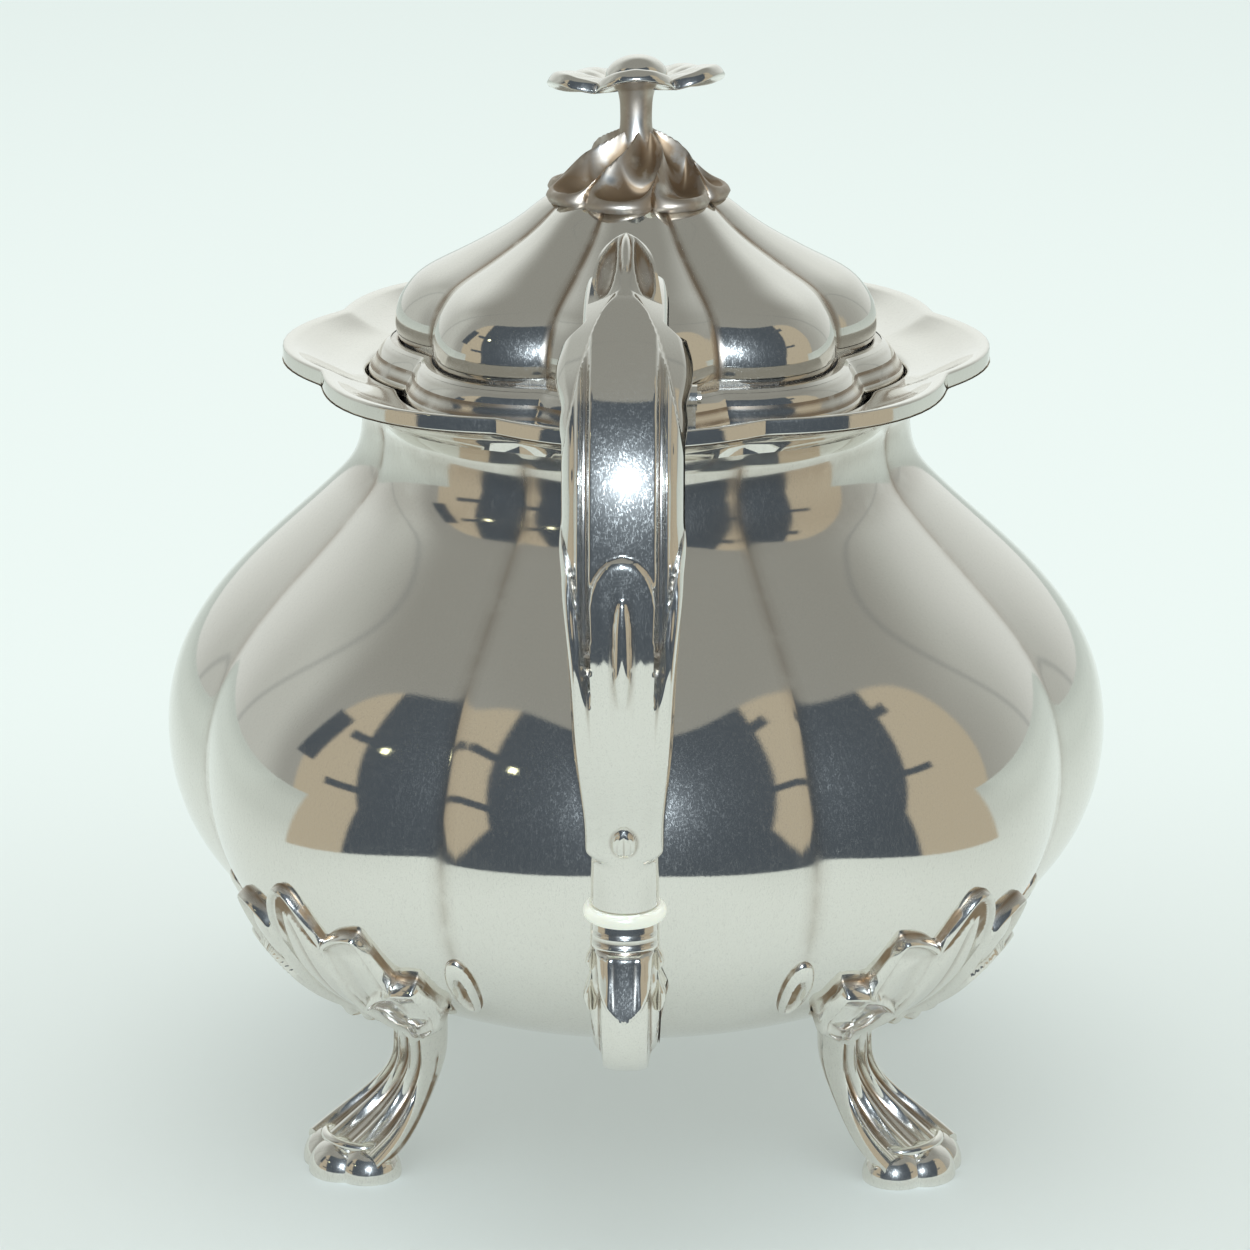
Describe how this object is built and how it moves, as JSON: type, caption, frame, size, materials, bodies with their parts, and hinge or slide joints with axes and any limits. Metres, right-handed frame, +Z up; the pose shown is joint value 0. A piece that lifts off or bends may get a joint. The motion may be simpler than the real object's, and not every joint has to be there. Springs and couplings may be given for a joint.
{
  "type": "teapot",
  "caption": "Lobed footed teapot in silver with a hinged domed lid, flower finial, scroll handle with ivory insulators and a curved spout.",
  "frame": {"origin": "on the table plane, midway between the outermost points of handle and spout, which is the vertical axis of the body", "axes": "+Z up, +Y toward the spout, -Y toward the handle, +X to the right when looking from handle to spout"},
  "size_m": [0.15, 0.2357, 0.1702],
  "materials": {
    "polished_silver": "polished silver, warm grey with fine circular polishing scratches",
    "cast_silver": "cast and chased silver, bright on the high parts and brown in the recesses",
    "inner_silver": "plain silver inside, dull grey",
    "ivory": "pale greenish cream insulator, satin, with light tan staining"
  },
  "bodies": {
    "pot": {"body_shell": "polished_silver", "rim_flange": "polished_silver", "rim_collar": "polished_silver", "spout": "polished_silver", "spout_root_leaf": "cast_silver", "spout_lip": "polished_silver", "crease_drop_1": "cast_silver", "crease_drop_2": "cast_silver", "crease_drop_3": "cast_silver", "crease_drop_4": "cast_silver", "crease_drop_5": "cast_silver", "crease_drop_6": "cast_silver", "crease_drop_7": "cast_silver", "crease_drop_8": "cast_silver", "foot_leaf_1": "cast_silver", "foot_leaf_2": "cast_silver", "foot_leaf_3": "cast_silver", "foot_leaf_4": "cast_silver", "foot_leg_1": "cast_silver", "foot_leg_2": "cast_silver", "foot_leg_3": "cast_silver", "foot_leg_4": "cast_silver", "handle_scroll": "cast_silver", "thumb_leaf": "cast_silver", "lower_insulator": "ivory", "upper_insulator": "ivory", "lower_socket": "cast_silver", "upper_socket": "cast_silver", "hinge_knuckle_left": "polished_silver", "hinge_knuckle_right": "polished_silver", "hinge_pin": "inner_silver"},
    "lid": {"lid_dome": "polished_silver", "lid_bezel": "inner_silver", "hinge_knuckle_lid": "polished_silver", "finial_calyx": "cast_silver", "finial_stem": "polished_silver", "finial_flower": "cast_silver", "finial_washer": "inner_silver", "finial_nut": "inner_silver"}
  },
  "joints": [
    {"name": "lid_hinge", "type": "hinge", "parent": "pot", "child": "lid", "pos_m": [0, -0.0436, 0.1274], "axis": [1, 0, 0], "range_deg": [0, 80]}
  ]
}
